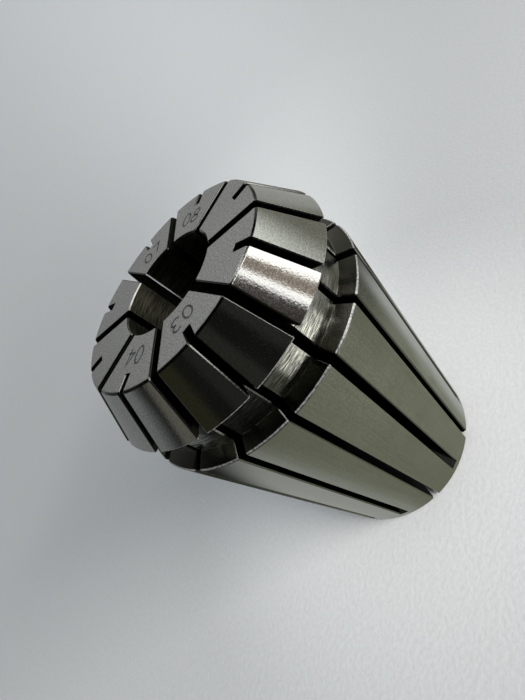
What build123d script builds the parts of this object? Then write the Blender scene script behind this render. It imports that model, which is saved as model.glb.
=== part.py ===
from build123d import *

import os
from math import acos, degrees, radians, sqrt, tan

# A spring collet for tool holders: one piece of hardened steel, turned, slit and ground.
# It stands on its small rear end, with its axis along +Z and its front face up. The long
# taper seats in the holder, the steep head cone seats in the clamping nut, and the nut's
# pull-out ring runs in the groove between them. Saw slots run in from both ends in turn
# and overlap along most of the length, so the jaws between them close evenly on a shank.
# Lengths are in millimetres and angles in degrees.

# Turned outline.
overall_length = 34.0
taper_diameter = 26.0  # of the long taper, at its front edge
taper_half_angle = 8.0
head_diameter = 26.0  # at the back of the head
head_length = 4.8  # from the front face to the back of the head
head_half_angle = 30.0
groove_diameter = 23.0
groove_floor_width = 3.3
shoulder_rake = 18.5  # lean of the groove's rear wall, from square to the axis

# Broken edges of the outline.
face_edge_break = 0.15
head_edge_break = 0.12
shoulder_edge_break = 0.12
rear_edge_chamfer = 0.3

# Bore for the shank.
bore_diameter = 10.0
front_mouth_chamfer = 0.15
rear_mouth_chamfer = 0.4

# Saw slots, one set from each end.
slots_per_end = 8
front_slot_width = 0.8
rear_slot_width = 0.65
saw_diameter = 50.0
saw_overrun = 1.0  # how far the saw reaches in past the bore's wall
front_slot_web = 1.0  # height at which the front slots run out through the long taper
rear_slot_exit_diameter = 17.2  # where the rear slots run out through the front face
slot_edge_break = 0.1
cutter_clearance = 1.0  # how far a cutting solid stands clear of the blank

# Sizes that follow from those above.
bore_radius = bore_diameter / 2
groove_radius = groove_diameter / 2
head_radius = head_diameter / 2
taper_radius = taper_diameter / 2
head_back = overall_length - head_length
groove_rear = head_back - groove_floor_width
taper_front = groove_rear - (taper_radius - groove_radius) * tan(radians(shoulder_rake))
face_radius = head_radius - head_length * tan(radians(head_half_angle))


def taper_radius_at(height):
    """Radius of the long taper at a height above the rear face."""
    return taper_radius - (taper_front - height) * tan(radians(taper_half_angle))


def turned_blank():
    """The solid as it leaves the lathe: the outline with its edges broken, about the axis."""
    edge_breaks = {
        (bore_radius, 0): rear_mouth_chamfer,
        (taper_radius_at(0), 0): rear_edge_chamfer,
        (taper_radius, taper_front): shoulder_edge_break,
        (groove_radius, groove_rear): 0,
        (groove_radius, head_back): 0,
        (head_radius, head_back): head_edge_break,
        (face_radius, overall_length): face_edge_break,
        (bore_radius, overall_length): front_mouth_chamfer,
    }
    section = make_face(Polyline(*edge_breaks, close=True))
    for corner, size in edge_breaks.items():
        if size > 0:
            section = chamfer(section.vertices().sort_by_distance(corner)[0], size)
    return revolve(Plane.XZ * section, axis=Axis.Z)


def saw_cut(width, exit_radius, exit_height, start_height):
    """The space that a disc saw sweeps as it moves along the axis, set off to one side of it.

    The saw starts at start_height and stops where its rim passes through the exit point.
    """
    saw_radius = saw_diameter / 2
    floor_radius = bore_radius - saw_overrun
    arbor_radius = floor_radius + saw_radius
    outer_radius = max(head_radius, taper_radius) + cutter_clearance
    travel = 1 if exit_height > start_height else -1
    rim_lead = sqrt(saw_radius**2 - (arbor_radius - exit_radius) ** 2)
    arbor_height = exit_height - travel * rim_lead
    rim_angle = degrees(acos((arbor_radius - outer_radius) / saw_radius))
    rim = CenterArc((arbor_radius, arbor_height), saw_radius, 180, -travel * rim_angle)
    sides = Polyline(rim @ 1, (outer_radius, start_height), (floor_radius, start_height), rim @ 0)
    swept = Plane.XZ * make_face([rim, sides])
    return extrude(swept, amount=width / 2, both=True)


def front_slots():
    """Slots sawn from the front face that stop just short of the rear end."""
    exit_radius = taper_radius_at(front_slot_web)
    start_height = overall_length + cutter_clearance
    slot = saw_cut(front_slot_width, exit_radius, front_slot_web, start_height)
    return PolarLocations(0, slots_per_end) * slot


def rear_slots():
    """Slots sawn from the rear end that run out through the front face, between the others."""
    exit_radius = rear_slot_exit_diameter / 2
    slot = saw_cut(rear_slot_width, exit_radius, overall_length, -cutter_clearance)
    half_pitch = 180 / slots_per_end
    return PolarLocations(0, slots_per_end, start_angle=half_pitch) * slot


def is_slot_wall(face):
    """Slot walls are the flat faces that stand along the axis."""
    return face.geom_type == GeomType.PLANE and abs(face.normal_at().Z) < 0.5


def is_slot_floor(face):
    """Slot floors are the round faces that the saw's rim leaves, which lie across the axis."""
    if face.geom_type != GeomType.CYLINDER:
        return False
    return abs(face.axis_of_rotation.direction.Z) < 0.5


def break_slot_edges(body):
    """Take the burr off every edge where a slot's wall meets the turned surface."""
    wall_edges = body.faces().filter_by(is_slot_wall).edges()
    floor_edges = body.faces().filter_by(is_slot_floor).edges()
    sharp_edges = ShapeList(edge for edge in wall_edges if edge not in floor_edges)
    return chamfer(sharp_edges, slot_edge_break)


def collet():
    """The whole piece."""
    slit_blank = turned_blank() - front_slots() - rear_slots()
    return break_slot_edges(slit_blank)


os.makedirs("parts", exist_ok=True)
export_step(collet(), "parts/collet.step")
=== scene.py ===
from math import radians
from types import SimpleNamespace

import bpy
import numpy as np
from mathutils import Matrix, Vector


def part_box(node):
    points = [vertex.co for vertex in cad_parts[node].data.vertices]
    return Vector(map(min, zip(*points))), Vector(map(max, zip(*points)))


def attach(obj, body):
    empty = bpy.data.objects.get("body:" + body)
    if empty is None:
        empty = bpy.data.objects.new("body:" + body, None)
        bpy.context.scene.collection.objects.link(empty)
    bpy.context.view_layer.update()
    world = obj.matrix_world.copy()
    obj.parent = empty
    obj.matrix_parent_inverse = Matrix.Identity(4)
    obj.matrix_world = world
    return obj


# A ground steel spring collet, standing on its small rear end on a pale floor.
# Lengths are in metres. The collet's axis is +Z and its rear face lies at height 0.

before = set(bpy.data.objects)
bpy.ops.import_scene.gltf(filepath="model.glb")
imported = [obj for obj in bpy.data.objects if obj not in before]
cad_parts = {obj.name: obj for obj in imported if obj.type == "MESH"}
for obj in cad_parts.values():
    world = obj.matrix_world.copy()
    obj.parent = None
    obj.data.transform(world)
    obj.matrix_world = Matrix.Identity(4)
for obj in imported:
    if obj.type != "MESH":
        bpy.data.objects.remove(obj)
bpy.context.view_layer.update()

# Turned form of the collet, as the frame has it. The head and the long taper are 26 mm across at
# their widest, and the masks for their turned edges start a little inside that.
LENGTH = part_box("collet")[1][2]
HEAD_LENGTH = 0.0048
HEAD_BACK = LENGTH - HEAD_LENGTH
HEAD_EDGE_START = 0.0126
GROOVE_RADIUS = 0.0115
SHOULDER_DEPTH = 0.0086
TAPER_FRONT = LENGTH - SHOULDER_DEPTH
TAPER_EDGE_START = 0.01287
BORE_RADIUS = 0.005

# Camera: close above the front face and rolled, so that the axis runs down to the right.
CAMERA_PLACE = Vector((-0.00724, -0.03931, 0.04882))
CAMERA_FORWARD = Vector((0.15059, 0.81923, -0.55334))
CAMERA_UP = Vector((0.86167, 0.16561, 0.47969))
CAMERA_LENS_MM = 26.02
SENSOR_MM = 36.0

# Floor: a flat disc that curves up into a wall. Its paint carries painted light: a painted pool of
# bounce light close round the collet, as if the steel threw light back, a painted beam of light that
# leads away from the collet to one side, and painted light that makes it paler towards the wall.
FLOOR_RADIUS = 0.14
FLOOR_RINGS = 12
BOWL_RINGS = 40
BOWL_RADIUS = 0.62
BOWL_HEIGHT = 0.70
BOWL_COLUMNS = 96
FLOOR_GREY = (0.58, 0.58, 0.58)
# Painted light: the floor's paint grows paler from the floor's edge up into the wall.
FLOOR_LEVEL_BEFORE_PAINTED_WALL_LIGHT = 0.97
PAINTED_WALL_LIGHT_START = 0.15
WALL_LEVEL_WITH_PAINTED_LIGHT = 1.20
PAINTED_WALL_LIGHT_FULL = 0.60
# Painted light: a pool of bounce light painted on the floor round the collet's foot.
PAINTED_BOUNCE_INNER_RADIUS = 0.010
PAINTED_BOUNCE_OUTER_RADIUS = 0.036
PAINTED_BOUNCE_PALENESS = 0.38
# Painted light: a narrow beam of light painted on the floor, leading away from the collet.
PAINTED_LIGHT_BEAM_DIRECTION = (0.574, 0.819)
PAINTED_LIGHT_BEAM_NARROWNESS = 14.0
PAINTED_LIGHT_BEAM_PALENESS = 0.42
PAINTED_LIGHT_BEAM_START = 0.005
PAINTED_LIGHT_BEAM_FULL = 0.0095

# Lights.
SKY_COLOUR = (0.885, 0.985, 1.05, 1.0)
SKY_STRENGTH = 0.535
WINDOW_PLACE = (0.155, -0.348, 0.177)
WINDOW_TARGET = (0.0, 0.0, 0.0)
WINDOW_WIDTH = 0.34
WINDOW_HEIGHT = 0.07
WINDOW_SPREAD = 110.0
WINDOW_WATTS = 0.99
WINDOW_COLOUR = (1.015, 1.0, 0.975)

# Studio that the steel mirrors, without its panels. The far floor and the pool add to the floor.
DOME_RADIUS = 1.0
DOME_CENTRE = (0.0, 0.0, 0.028)
SHELL_COLOUR = (0.011, 0.012, 0.010)
NEAR_FLOOR_COLOUR = (0.225, 0.240, 0.172)
FAR_FLOOR_ADDED = (0.17, 0.17, 0.21)
FLOOR_POOL_ADDED = (0.14, 0.14, 0.15)

# Colours of the steel by finish; the shoulder, the bore and the sawn walls are darkened with painted
# shade. A pair is the dark and the pale side of a pattern.
GROUND_STEEL = ((0.50, 0.50, 0.485, 1.0), (0.545, 0.545, 0.53, 1.0))
# Painted shade: the honed bore is painted dark, as its hollow lies in shade.
HONED_BORE_IN_PAINTED_SHADE = ((0.05, 0.048, 0.035, 1.0), (0.14, 0.135, 0.10, 1.0))
BRUSHED_GROOVE = ((0.40, 0.40, 0.385, 1.0), (0.66, 0.66, 0.635, 1.0))
# Painted shade: the shoulder and the back of the head round the groove are painted dark.
SHOULDER_IN_PAINTED_SHADE = (0.24, 0.235, 0.205, 1.0)
BORE_MOUTH = (0.28, 0.28, 0.27, 1.0)
WORN_EDGE = (0.26, 0.26, 0.25, 1.0)
DULL_EDGE = (0.13, 0.13, 0.12, 1.0)
TURNED_EDGE = (0.50, 0.50, 0.49, 1.0)
BRIGHT_BURR = (0.60, 0.62, 0.63, 1.0)
# Painted shade: the sawn slot walls are painted nearly black.
SAWN_WALL_IN_PAINTED_SHADE = (0.05, 0.05, 0.045, 1.0)
ETCH = ((0.10, 0.10, 0.10, 1.0), (0.20, 0.20, 0.20, 1.0))


def mesh_object(name, vertices, faces, smooth=True):
    """A mesh object at the origin from an array of points and an array of corner numbers."""
    mesh = bpy.data.meshes.new(name)
    mesh.from_pydata(vertices.reshape(-1, 3).tolist(), [], faces.tolist())
    mesh.polygons.foreach_set("use_smooth", np.full(len(mesh.polygons), smooth))
    thing = bpy.data.objects.new(name, mesh)
    bpy.context.scene.collection.objects.link(thing)
    return thing


def grid_faces(rows, columns):
    """Quads of a rows by columns grid of points whose last column joins the first."""
    row = np.arange(rows - 1)[:, None]
    column = np.arange(columns)[None, :]
    beside = (column + 1) % columns
    corners = (row * columns + column, row * columns + beside,
               (row + 1) * columns + beside, (row + 1) * columns + column)
    return np.stack(corners, axis=-1).reshape(-1, 4)


def box_sweep(path, across, width, low, high):
    """Bar of rectangular section carried along a flat path: each path point gets the corners
    point +- across * width / 2 at heights low and high, and both ends are closed."""
    half = across * width / 2
    left, right = path - half, path + half
    levels = ((left, low), (right, low), (right, high), (left, high))
    corners = np.stack([np.column_stack([side, np.full(len(path), height)])
                        for side, height in levels], axis=1)
    faces = grid_faces(len(path), 4)
    last = 4 * (len(path) - 1)
    ends = np.array([[0, 1, 2, 3], [last + 3, last + 2, last + 1, last]])
    return corners.reshape(-1, 3), np.vstack([faces[:, ::-1], ends[:, ::-1]])


def smoothstep(low, high, value):
    """0 below low, 1 above high, and 3t^2 - 2t^3 between them."""
    t = np.clip((value - low) / (high - low), 0.0, 1.0)
    return t * t * (3.0 - 2.0 * t)


def window(value, low, high, before, after=None):
    """1 from low to high, rising from 0 over the distance before and falling to 0 over after."""
    after = before if after is None else after
    return smoothstep(low - before, low, value) * (1.0 - smoothstep(high, high + after, value))


class Shader:
    """A material's node tree with short calls for the nodes used here. What a call takes may be a
    plain value or another node's output. Except for node, each returns an output or outputs."""

    def __init__(self, name):
        self.material = bpy.data.materials.new(name)
        self.material.use_nodes = True
        self.tree = self.material.node_tree
        self.tree.nodes.clear()
        self.output = self.tree.nodes.new("ShaderNodeOutputMaterial")

    def node(self, kind, inputs=(), **settings):
        """A new node with its settings made and its inputs given a value or a link."""
        made = self.tree.nodes.new(kind)
        for key, value in settings.items():
            setattr(made, key, value)
        for key, value in dict(inputs).items():
            if isinstance(value, bpy.types.NodeSocket):
                self.tree.links.new(value, made.inputs[key])
            else:
                made.inputs[key].default_value = value
        return made

    def show(self, shade):
        """Put a finished shader node on the material's surface."""
        self.tree.links.new(shade.outputs[0], self.output.inputs[0])

    def place(self):
        """The point's place in the object's own coordinates."""
        return self.node("ShaderNodeTexCoord").outputs["Object"]

    def split(self, vector):
        """The three parts of a vector."""
        return self.node("ShaderNodeSeparateXYZ", {0: vector}).outputs

    def join(self, x, y, z):
        """A vector from its three parts."""
        return self.node("ShaderNodeCombineXYZ", {0: x, 1: y, 2: z}).outputs[0]

    def math(self, operation, a, b=0.0, c=0.0):
        made = self.node("ShaderNodeMath", {0: a, 1: b, 2: c}, operation=operation)
        return made.outputs[0]

    def times(self, a, b):
        return self.math("MULTIPLY", a, b)

    def plus(self, a, b):
        return self.math("ADD", a, b)

    def minus(self, a, b):
        return self.math("SUBTRACT", a, b)

    def above(self, value, limit):
        """1 where the value is over the limit, otherwise 0."""
        return self.math("GREATER_THAN", value, limit)

    def below(self, value, limit):
        """1 where the value is under the limit, otherwise 0."""
        return self.math("LESS_THAN", value, limit)

    def close_to(self, value, target, reach):
        """1 where the value is no further than reach from the target, otherwise 0."""
        return self.math("COMPARE", value, target, reach)

    def from_axis(self, x, y):
        """Distance from the upright axis: the root of x squared plus y squared."""
        return self.math("SQRT", self.plus(self.times(x, x), self.times(y, y)))

    def vector(self, operation, a, b=(0.0, 0.0, 0.0), output=0):
        made = self.node("ShaderNodeVectorMath", {0: a, 1: b}, operation=operation)
        return made.outputs[output]

    def scale(self, vector, factor):
        """A vector or colour times a number."""
        made = self.node("ShaderNodeVectorMath", {0: vector, "Scale": factor}, operation="SCALE")
        return made.outputs[0]

    def noise(self, place, scale, detail, roughness=0.5):
        made = self.node("ShaderNodeTexNoise", {"Vector": place, "Scale": scale, "Detail": detail,
                                                "Roughness": roughness})
        return made.outputs[0]

    def ramp(self, value, low, high, out_low=0.0, out_high=1.0):
        """Smooth change from out_low to out_high as value goes from low to high."""
        made = self.node("ShaderNodeMapRange",
                         {"Value": value, "From Min": low, "From Max": high,
                          "To Min": out_low, "To Max": out_high},
                         interpolation_type="SMOOTHSTEP")
        return made.outputs["Result"]

    def mix(self, factor, a, b):
        """Colour between a and b."""
        made = self.node("ShaderNodeMix", {0: factor, 6: a, 7: b}, data_type="RGBA")
        return made.outputs[2]

    def blend(self, factor, a, b):
        """Number between a and b."""
        made = self.node("ShaderNodeMix", {0: factor, 2: a, 3: b}, data_type="FLOAT")
        return made.outputs[0]


def make_camera():
    """Camera whose axes are worked out from where it looks and which way it holds up."""
    data = bpy.data.cameras.new("camera")
    data.lens = CAMERA_LENS_MM
    data.sensor_width = SENSOR_MM
    data.clip_start = 0.001
    data.clip_end = 5.0
    camera = bpy.data.objects.new("camera", data)
    bpy.context.scene.collection.objects.link(camera)
    back = -CAMERA_FORWARD.normalized()
    right = CAMERA_UP.cross(back).normalized()
    up = back.cross(right)
    turn = Matrix((right, up, back)).transposed()
    camera.matrix_world = Matrix.Translation(CAMERA_PLACE) @ turn.to_4x4()
    bpy.context.scene.camera = camera


def make_floor_paint():
    """Matte grey paint with a fine grain, with painted light in its paleness: a painted pool of bounce
    light that fades out with distance from the axis, plus a painted beam of light that follows a power
    of the cosine between the point's direction and its own and starts under the collet, plus painted
    light that makes the floor paler towards the wall."""
    paint = Shader("floor_paint_with_painted_light")
    place = paint.place()
    x, y, _ = paint.split(place)
    reach = paint.from_axis(x, y)
    # Painted light: a pool of bounce light painted round the collet's foot.
    glow = paint.ramp(reach, PAINTED_BOUNCE_INNER_RADIUS, PAINTED_BOUNCE_OUTER_RADIUS, PAINTED_BOUNCE_PALENESS, 0.0)
    # Painted light: a narrow beam of light painted on the floor, leading away from the collet.
    cosine = paint.plus(paint.times(x, PAINTED_LIGHT_BEAM_DIRECTION[0]), paint.times(y, PAINTED_LIGHT_BEAM_DIRECTION[1]))
    cosine = paint.math("DIVIDE", cosine, paint.plus(reach, 0.0001))
    cosine = paint.math("MAXIMUM", cosine, 0.0)
    clear_of_collet = paint.ramp(reach, PAINTED_LIGHT_BEAM_START, PAINTED_LIGHT_BEAM_FULL, 0.0, PAINTED_LIGHT_BEAM_PALENESS)
    painted_light_beam = paint.times(paint.math("POWER", cosine, PAINTED_LIGHT_BEAM_NARROWNESS), clear_of_collet)
    # Painted light: the floor is painted paler towards the wall.
    floor_level_and_painted_wall_light = paint.ramp(reach, PAINTED_WALL_LIGHT_START, PAINTED_WALL_LIGHT_FULL, FLOOR_LEVEL_BEFORE_PAINTED_WALL_LIGHT, WALL_LEVEL_WITH_PAINTED_LIGHT)
    pale = paint.plus(paint.plus(glow, painted_light_beam), floor_level_and_painted_wall_light)
    grain = paint.noise(place, 2200.0, 3.0)
    pale = paint.times(pale, paint.ramp(grain, 0.3, 0.7, 0.97, 1.03))
    bump = paint.node("ShaderNodeBump", {"Height": grain, "Strength": 0.15, "Distance": 0.0002})
    paint.show(paint.node("ShaderNodeBsdfPrincipled",
                          {"Base Color": paint.scale(FLOOR_GREY, pale), "Roughness": 0.8,
                           "Normal": bump.outputs[0]}))
    return paint.material


def make_bowl():
    """Flat round floor that curves up into a wall. With f the floor's radius, b the bowl's, h its
    height and u from 0 to 90 degrees, the radius is f + (b - f) sin(u) and the height is
    h (1 - cos(u))."""
    flat = np.linspace(0.0, 1.0, FLOOR_RINGS, endpoint=False) * FLOOR_RADIUS
    bend = np.linspace(0.0, np.pi / 2, BOWL_RINGS - FLOOR_RINGS)
    radius = np.concatenate([flat, FLOOR_RADIUS + (BOWL_RADIUS - FLOOR_RADIUS) * np.sin(bend)])
    height = np.concatenate([flat * 0.0, BOWL_HEIGHT * (1.0 - np.cos(bend))])
    turn = np.linspace(0.0, 2 * np.pi, BOWL_COLUMNS, endpoint=False)
    points = np.stack([radius[:, None] * np.cos(turn), radius[:, None] * np.sin(turn),
                       height[:, None] + 0.0 * turn], axis=-1)
    bowl = mesh_object("floor", points, grid_faces(BOWL_RINGS, BOWL_COLUMNS))
    bowl.visible_glossy = False
    bowl.data.materials.append(make_floor_paint())


# Soft panels of the studio as the steel mirrors them. Azimuth: the softness before, the span and
# the softness after. Elevation: the same four. All are in degrees. Last comes the colour added.
PANELS = (
    ("lamp, near half", (1.5, -39.1, -27.0, 1.5), (5.0, 10.0, 50.0, 6.0), (2.2, 2.2, 2.15)),
    ("lamp, far half", (1.5, -57.9, -52.8, 1.5), (5.0, 10.0, 50.0, 6.0), (1.95, 1.95, 1.92)),
    ("bar between them", (2.5, -52.8, -38.5, 2.5), (5.0, 10.0, 50.0, 6.0), (0.34, 0.28, 0.235)),
    ("lamp's far rim", (6.0, -67.0, -60.0, 3.0), (6.0, 2.0, 50.0, 6.0), (0.06, 0.05, 0.048)),
    ("roof light", (8.0, -45.0, 5.0, 8.0), (6.0, 48.0, 66.0, 6.0), (2.6, 2.6, 2.5)),
    ("bright sill", (5.0, -102.0, -50.0, 7.0), (2.5, -41.0, -34.0, 2.5), (1.30, 1.30, 1.16)),
    ("bright sill's middle", (4.0, -85.0, -60.0, 7.0), (2.5, -41.0, -34.0, 2.5), (0.75, 0.75, 0.66)),
    ("short sill", (7.0, 15.0, 42.0, 8.0), (4.0, -37.0, -29.0, 4.0), (0.08, 0.08, 0.07)),
    ("shelf", (6.0, 31.0, 47.0, 6.0), (6.0, 26.0, 42.0, 6.0), (0.11, 0.11, 0.10)),
    ("dull sill", (10.0, -46.0, -8.0, 10.0), (3.0, -42.0, -30.0, 3.0), (0.30, 0.30, 0.27)),
    ("far end of the sill", (10.0, -122.0, -106.0, 5.0), (3.0, -42.0, -32.0, 3.0), (0.08, 0.08, 0.065)),
    ("near curtain", (8.0, -26.0, 2.0, 10.0), (14.0, 20.0, 25.0, 8.0), (1.14, 1.19, 1.10)),
    ("grey wall", (10.0, -26.0, 70.0, 10.0), (8.0, -16.0, 8.0, 8.0), (0.215, 0.212, 0.172)),
    ("lit part of the wall", (9.0, 24.0, 48.0, 9.0), (6.0, -18.0, 6.0, 6.0), (0.20, 0.21, 0.225)),
    ("tall curtain", (12.0, 50.0, 78.0, 50.0), (14.0, 25.0, 50.0, 10.0), (0.51, 0.52, 0.525)),
    ("dim wall", (22.0, 95.0, 150.0, 22.0), (8.0, -30.0, 9.0, 8.0), (0.21, 0.222, 0.225)),
    ("pale strip", (5.0, 173.0, 179.0, 4.0), (6.0, 6.0, 22.0, 6.0), (0.14, 0.135, 0.115)),
    ("olive glow", (4.0, -176.0, -160.0, 4.0), (8.0, 8.0, 32.0, 8.0), (0.018, 0.016, 0.006)),
    ("faint post", (4.0, -142.0, -134.0, 4.0), (8.0, 8.0, 40.0, 8.0), (0.014, 0.014, 0.012)),
    ("broad faint post", (5.0, -120.0, -113.0, 4.0), (8.0, 8.0, 40.0, 8.0), (0.019, 0.020, 0.017)),
    ("last faint post", (6.0, -89.0, -76.0, 6.0), (8.0, 8.0, 40.0, 8.0), (0.020, 0.020, 0.019)),
)


def studio_radiance(azimuth, elevation):
    """Colour of the studio by direction, in degrees: a dim shell that is darker overhead, plus a
    floor below it that is paler on the far side, has a wavy edge and darkens straight below, plus
    each soft panel's colour times its windows in azimuth and elevation."""
    overhead = 1.0 - 0.85 * smoothstep(34.0, 48.0, elevation)[..., None]
    colour = np.array(SHELL_COLOUR) * overhead
    turn = np.where(azimuth < -100.0, azimuth + 360.0, azimuth)
    away = window(turn, 25.0, 170.0, 16.0)[..., None]
    pool = window(turn, 20.0, 34.0, 8.0)[..., None]
    shade = 1.0 - 0.14 * window(turn, 192.0, 214.0, 12.0)[..., None]
    floor = (np.array(NEAR_FLOOR_COLOUR) + away * np.array(FAR_FLOOR_ADDED)
             + pool * np.array(FLOOR_POOL_ADDED)) * shade
    edge = (6.0 * window(turn, 25.0, 60.0, 22.0) + 3.0 * window(turn, 125.0, 172.0, 12.0)
            - 6.0 * window(turn, 92.0, 108.0, 12.0))
    under = (1.0 - smoothstep(-52.0, -43.0, elevation - edge))[..., None]
    nadir = 0.08 + 0.92 * smoothstep(-84.0, -76.0, elevation)[..., None]
    colour = colour + under * nadir * floor
    for _, (left_soft, left, right, right_soft), (low_soft, low, high, high_soft), tint in PANELS:
        spot = (window(azimuth, left, right, left_soft, right_soft)
                * window(elevation, low, high, low_soft, high_soft))
        colour = colour + spot[..., None] * np.array(tint)
    return colour


def make_reflection_dome():
    """Large sphere that only mirror rays see: a point for each degree of azimuth and elevation,
    a radius away from the centre in that direction, with the studio's colour there."""
    rows, columns = 181, 360
    elevation = np.linspace(-90.0, 90.0, rows)[:, None] + np.zeros((1, columns))
    azimuth = np.linspace(-180.0, 180.0, columns, endpoint=False)[None, :] + np.zeros((rows, 1))
    e, a = np.radians(elevation), np.radians(azimuth)
    ball = np.stack([np.cos(e) * np.cos(a), np.cos(e) * np.sin(a), np.sin(e)], axis=-1)
    points = np.array(DOME_CENTRE) + DOME_RADIUS * ball
    dome = mesh_object("reflection_dome", points, grid_faces(rows, columns))
    tint = dome.data.attributes.new("radiance", "FLOAT_COLOR", "POINT")
    colour = studio_radiance(azimuth, elevation).reshape(-1, 3)
    tint.data.foreach_set("color", np.column_stack([colour, np.ones(len(colour))]).ravel())
    glow = Shader("studio_glow")
    read = glow.node("ShaderNodeAttribute", attribute_name="radiance")
    glow.show(glow.node("ShaderNodeEmission", {"Color": read.outputs["Color"], "Strength": 1.0}))
    glow.material.cycles.emission_sampling = "NONE"
    dome.data.materials.append(glow.material)
    dome.visible_camera = False
    dome.visible_diffuse = False
    dome.visible_transmission = False
    dome.visible_shadow = False


def make_sky():
    """Even pale light from all round, for the floor and the collet's dull edges."""
    world = bpy.data.worlds.new("world")
    world.use_nodes = True
    backdrop = world.node_tree.nodes["Background"]
    backdrop.inputs[0].default_value = SKY_COLOUR
    backdrop.inputs[1].default_value = SKY_STRENGTH
    bpy.context.scene.world = world


def make_window_light():
    """Wide low rectangle of light, turned towards the collet's foot, that no mirror ray sees."""
    data = bpy.data.lights.new("window_light", "AREA")
    data.shape = "RECTANGLE"
    data.size = WINDOW_WIDTH
    data.size_y = WINDOW_HEIGHT
    data.spread = radians(WINDOW_SPREAD)
    data.energy = WINDOW_WATTS
    data.color = WINDOW_COLOUR
    lamp = bpy.data.objects.new("window_light", data)
    lamp.location = WINDOW_PLACE
    lamp.rotation_mode = "QUATERNION"
    aim = Vector(WINDOW_TARGET) - Vector(WINDOW_PLACE)
    lamp.rotation_quaternion = aim.to_track_quat("-Z", "Y")
    lamp.visible_camera = False
    lamp.visible_glossy = False
    bpy.context.scene.collection.objects.link(lamp)


def find_place(steel):
    """Where a point lies on the turned form: its height z, its distance from the axis, and the
    direction straight out from the axis through it."""
    at = SimpleNamespace()
    at.place = steel.place()
    at.x, at.y, at.z = steel.split(at.place)
    at.radius = steel.from_axis(at.x, at.y)
    flat = steel.vector("MULTIPLY", at.place, (1.0, 1.0, 0.0))
    at.outward = steel.vector("NORMALIZE", flat)
    return at


def find_surfaces(steel, at, true_normal):
    """Masks of the collet's surfaces, each 1 on its own surface and 0 elsewhere, from the place on
    the turned form and the way that the surface faces. The lean is the normal's part along the
    axis squared plus its part along the radius squared: 0 on a sawn wall, which is the only
    surface square to both, 1 on a turned surface, and between them on a broken slot edge. The few
    hundredths of a millimetre in the limits keep each mask clear of the surface next to it."""
    normal_z = steel.split(true_normal)[2]
    normal_out = steel.vector("DOT_PRODUCT", true_normal, at.outward, output="Value")
    lean = steel.plus(steel.times(normal_z, normal_z), steel.times(normal_out, normal_out))
    on = SimpleNamespace()
    on.sawn = steel.below(lean, 0.12)
    on.slot_edge = steel.minus(steel.below(lean, 0.85), on.sawn)
    on.face = steel.above(at.z, LENGTH - 0.00003)
    on.head = steel.above(at.z, HEAD_BACK + 0.00003)
    on.behind_head = steel.times(steel.minus(1.0, on.head),
                                 steel.above(at.z, TAPER_FRONT - 0.00001))
    on.groove = steel.times(on.behind_head, steel.below(at.radius, GROOVE_RADIUS + 0.00004))
    on.groove_corner = steel.times(on.behind_head, steel.below(at.radius, GROOVE_RADIUS + 0.0002))
    on.shoulder = steel.minus(on.behind_head, on.groove)
    on.bore = steel.below(at.radius, BORE_RADIUS + 0.00003)
    at_bore = steel.below(at.radius, BORE_RADIUS + 0.00017)
    on.bore_mouth = steel.minus(at_bore, on.face)
    on.dull_edge = steel.math("MAXIMUM", at_bore, steel.above(at.z, LENGTH - 0.0002))
    beside_slot = steel.times(steel.close_to(at.x, 0.00045, 0.00014), steel.above(at.y, 0.004))
    on.burr = steel.times(steel.times(on.slot_edge, at_bore), beside_slot)
    head_edge = steel.times(steel.close_to(at.z, HEAD_BACK + 0.00006, 0.00006),
                            steel.above(at.radius, HEAD_EDGE_START))
    taper_edge = steel.times(steel.close_to(at.z, TAPER_FRONT - 0.00002, 0.00006),
                             steel.above(at.radius, TAPER_EDGE_START))
    on.turned_edge = steel.math("MAXIMUM", head_edge, taper_edge)
    return on


def find_patterns(steel, at):
    """Noise patterns of the steel: fine rings and a coarser hatch, both drawn out round the axis,
    a mottle of specks, broad clouds, and streaks drawn out along the axis. A pattern is drawn out
    along a direction by scaling that part of the place less than the rest."""
    along = steel.minus(at.z, at.radius)
    pattern = SimpleNamespace()
    ring_place = steel.join(steel.times(along, 9000.0), steel.times(at.x, 260.0),
                            steel.times(at.y, 260.0))
    pattern.rings = steel.noise(ring_place, 1.0, 3.0, 0.6)
    hatch_place = steel.join(steel.times(at.z, 7500.0), steel.times(at.x, 700.0),
                             steel.times(at.y, 700.0))
    pattern.hatch = steel.noise(hatch_place, 1.0, 1.0)
    pattern.mottle = steel.noise(at.place, 6500.0, 1.0)
    pattern.cloud = steel.noise(at.place, 220.0, 3.0)
    streak_place = steel.vector("ADD", steel.vector("MULTIPLY", at.outward, (75.0, 75.0, 0.0)),
                                steel.join(0.0, 0.0, steel.times(at.z, 130.0)))
    pattern.streaks = steel.noise(streak_place, 1.0, 3.0, 0.6)
    return pattern


def steel_roughness(steel, on, pattern):
    """Roughness by surface, with a little of the clouds and the mottle added."""
    rough = steel.blend(on.head, 0.19, 0.12)
    layers = ((on.face, 0.40), (on.groove, 0.15), (on.bore, 0.50), (on.turned_edge, 0.30),
              (on.sawn, 0.45))
    for surface, value in layers:
        rough = steel.blend(surface, rough, value)
    rough = steel.plus(rough, steel.ramp(pattern.cloud, 0.3, 0.7, -0.02, 0.03))
    return steel.plus(rough, steel.ramp(pattern.mottle, 0.35, 0.65, -0.015, 0.02))


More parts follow.
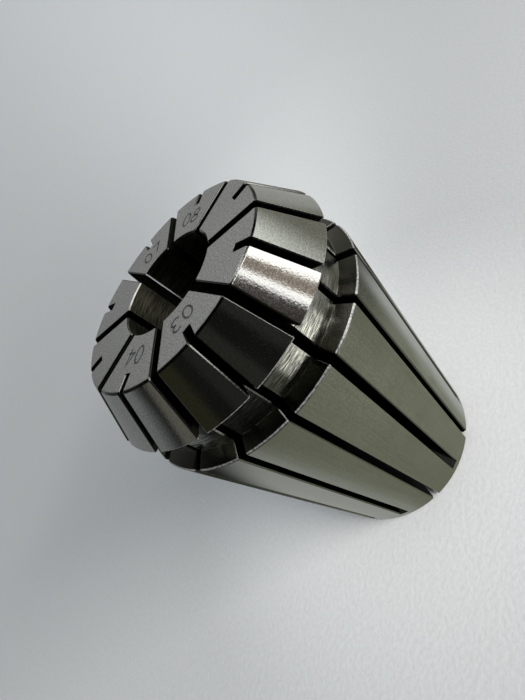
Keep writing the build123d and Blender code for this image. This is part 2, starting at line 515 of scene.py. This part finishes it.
def steel_relief(steel, on, pattern, geometry):
    """Normal with the relief of the tool marks: rings everywhere, a strong hatch in the groove and
    the bore, and a mottle that is strongest on the head. Edges are rounded a little, except in the
    groove's corner."""
    height = steel.times(pattern.rings, 0.3)
    height = steel.plus(height, steel.times(pattern.hatch, steel.times(on.groove, 5.0)))
    height = steel.plus(height, steel.times(pattern.hatch, steel.times(on.bore, 3.0)))
    height = steel.plus(height, steel.times(pattern.mottle, steel.blend(on.head, 0.08, 0.75)))
    soft_edge = steel.node("ShaderNodeBevel", {"Radius": 0.00006}, samples=8).outputs[0]
    facing = steel.node("ShaderNodeMix", {0: on.groove_corner, 4: soft_edge,
                                          5: geometry.outputs["Normal"]}, data_type="VECTOR")
    bump = steel.node("ShaderNodeBump", {"Height": height, "Strength": 1.0, "Distance": 0.000005,
                                         "Normal": facing.outputs[1]})
    return bump.outputs[0]


def steel_colour(steel, on, pattern):
    """Colour that each surface mirrors with: clouded ground steel with lengthwise streaks off the
    head, then the other finishes laid over it in turn, with painted shade on the shoulder, the bore
    and the sawn walls, then a grain of specks over all."""
    tint = steel.mix(steel.ramp(pattern.cloud, 0.3, 0.7), *GROUND_STEEL)
    streaked = steel.ramp(pattern.streaks, 0.3, 0.7, 0.96, 1.04)
    tint = steel.scale(tint, steel.blend(on.head, streaked, 1.0))
    # Painted shade darkens the honed bore; its hatch is the honing marks.
    honed_in_painted_shade = steel.mix(steel.ramp(pattern.hatch, 0.35, 0.65), *HONED_BORE_IN_PAINTED_SHADE)
    brushed = steel.mix(steel.ramp(pattern.hatch, 0.38, 0.62), *BRUSHED_GROOVE)
    broken_edge = steel.mix(on.dull_edge, WORN_EDGE, DULL_EDGE)
    layers = ((on.shoulder, SHOULDER_IN_PAINTED_SHADE), (on.groove, brushed), (on.bore_mouth, BORE_MOUTH),
              (on.bore, honed_in_painted_shade), (on.slot_edge, broken_edge), (on.turned_edge, TURNED_EDGE),
              (on.burr, BRIGHT_BURR), (on.sawn, SAWN_WALL_IN_PAINTED_SHADE))
    for surface, colour in layers:
        tint = steel.mix(surface, tint, colour)
    fleck = steel.blend(on.head, 0.06, 0.10)
    fleck = steel.blend(on.face, fleck, 0.26)
    fleck = steel.blend(on.turned_edge, fleck, 0.55)
    grain = steel.ramp(pattern.mottle, 0.3, 0.7, steel.minus(1.0, fleck), steel.plus(1.0, fleck))
    return steel.scale(tint, grain)


def make_steel():
    """Ground steel whose finish follows the turned form: fine rings round the axis, a smooth
    taper and head cone, a matte face, a brushed groove, and sawn slots and a bore darkened with
    painted shade. Its highlights are drawn out across the rings, along the outline, except on the
    matte face."""
    steel = Shader("ground_steel")
    geometry = steel.node("ShaderNodeNewGeometry")
    at = find_place(steel)
    on = find_surfaces(steel, at, geometry.outputs["True Normal"])
    pattern = find_patterns(steel, at)
    swirl = steel.blend(on.face, steel.blend(on.bore, 0.5, 0.8), 0.0)
    # Painted shade: the sawn walls' edge tint is dark, so they stay dark at grazing angles too.
    rim = steel.mix(on.sawn, (1.0, 1.0, 1.0, 1.0), (0.15, 0.15, 0.15, 1.0))
    metal = steel.blend(on.burr, steel.blend(on.turned_edge, 1.0, 0.75), 0.1)
    steel.show(steel.node("ShaderNodeBsdfPrincipled",
                          {"Base Color": steel_colour(steel, on, pattern), "Metallic": metal,
                           "Roughness": steel_roughness(steel, on, pattern), "Specular Tint": rim,
                           "Anisotropic": swirl,
                           "Tangent": steel.vector("SUBTRACT", at.outward, (0.0, 0.0, 1.0)),
                           "Normal": steel_relief(steel, on, pattern, geometry)}))
    return steel.material


def dress_collet():
    """Give the collet's own node the ground steel in place of its plain material."""
    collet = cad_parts["collet"]
    collet.data.materials.clear()
    collet.data.materials.append(make_steel())


def arc(centre, radii, start, stop, count=25):
    """Points of an elliptic arc: centre + (rx cos t, ry sin t), t in degrees from start to stop."""
    t = np.radians(np.linspace(start, stop, count))
    return np.column_stack([centre[0] + radii[0] * np.cos(t), centre[1] + radii[1] * np.sin(t)])


def line(*corners):
    """Points of a path that runs straight from corner to corner."""
    return np.array(corners, dtype=float)


# Strokes of the plain figures, in a box 0.6 wide and 1 high about the origin.
FIGURES = {
    "0": (arc((0.0, 0.0), (0.28, 0.48), 0.0, 360.0, 41),),
    "3": (arc((-0.02, 0.24), (0.25, 0.24), 150.0, -90.0),
          arc((-0.02, -0.24), (0.28, 0.24), 90.0, -150.0)),
    "4": (line((0.12, -0.48), (0.12, 0.48), (-0.28, -0.20), (0.28, -0.20)),),
    "7": (line((-0.27, 0.48), (0.27, 0.48), (-0.08, -0.48)),),
    "8": (arc((0.0, 0.25), (0.23, 0.23), 0.0, 360.0, 33),
          arc((0.0, -0.24), (0.28, 0.24), 0.0, 360.0, 33)),
}
# Jaw numbers and the angle of each number's middle, in degrees.
JAW_NUMBERS = (("03", -112.5), ("04", -157.5), ("07", 67.5), ("08", 22.5))
FIGURE_HEIGHT = 0.00158
FIGURE_PITCH = 0.00130
FIGURE_STROKE = 0.00019
NUMBER_RADIUS = 0.0071
ETCH_SINK = 0.000004
ETCH_RISE = 0.000003


def stroke_normals(path):
    """Vectors square to a flat path. Each follows the mean direction of the runs at its point and
    is lengthened for the mitre by one over the cosine of half the turn there, at most twice."""
    runs = np.diff(path, axis=0)
    runs /= np.linalg.norm(runs, axis=1, keepdims=True)
    before = np.vstack([runs[:1], runs])
    after = np.vstack([runs, runs[-1:]])
    along = before + after
    along /= np.linalg.norm(along, axis=1, keepdims=True)
    mitre = 1.0 / np.maximum((along * after).sum(axis=1, keepdims=True), 0.5)
    return np.column_stack([-along[:, 1], along[:, 0]]) * mitre


def make_jaw_number(text, degrees, paint):
    """A number etched on the front face, read clockwise with the figures' tops outwards. Each
    figure is turned to its own place on the ring and its strokes are thin flat bars."""
    points, faces, count = [], [], 0
    for place, figure in enumerate(text):
        offset = (place - (len(text) - 1) / 2) * FIGURE_PITCH
        turn = radians(degrees) - offset / NUMBER_RADIUS
        outward = np.array([np.cos(turn), np.sin(turn)])
        clockwise = np.array([np.sin(turn), -np.cos(turn)])
        for stroke in FIGURES[figure]:
            flat = (outward * NUMBER_RADIUS + FIGURE_HEIGHT * (stroke[:, :1] * clockwise
                                                               + stroke[:, 1:] * outward))
            bar, quads = box_sweep(flat, stroke_normals(flat), FIGURE_STROKE,
                                   LENGTH - ETCH_SINK, LENGTH + ETCH_RISE)
            points.append(bar)
            faces.append(quads + count)
            count += len(bar)
    number = mesh_object("jaw_number_" + text, np.vstack(points), np.vstack(faces), smooth=False)
    number.data.materials.append(paint)
    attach(number, "root")


def make_etch():
    """Laser-darkened steel: dull grey with a slightly uneven depth of colour."""
    etch = Shader("etched_steel")
    burn = etch.noise(etch.place(), 5200.0, 2.0)
    tint = etch.mix(etch.ramp(burn, 0.35, 0.65), *ETCH)
    etch.show(etch.node("ShaderNodeBsdfPrincipled",
                        {"Base Color": tint, "Metallic": 1.0, "Roughness": 0.5}))
    return etch.material


bpy.context.scene.view_settings.view_transform = "Standard"
make_camera()
make_bowl()
make_reflection_dome()
make_sky()
make_window_light()
dress_collet()
etch_paint = make_etch()
for jaw_text, jaw_degrees in JAW_NUMBERS:
    make_jaw_number(jaw_text, jaw_degrees, etch_paint)
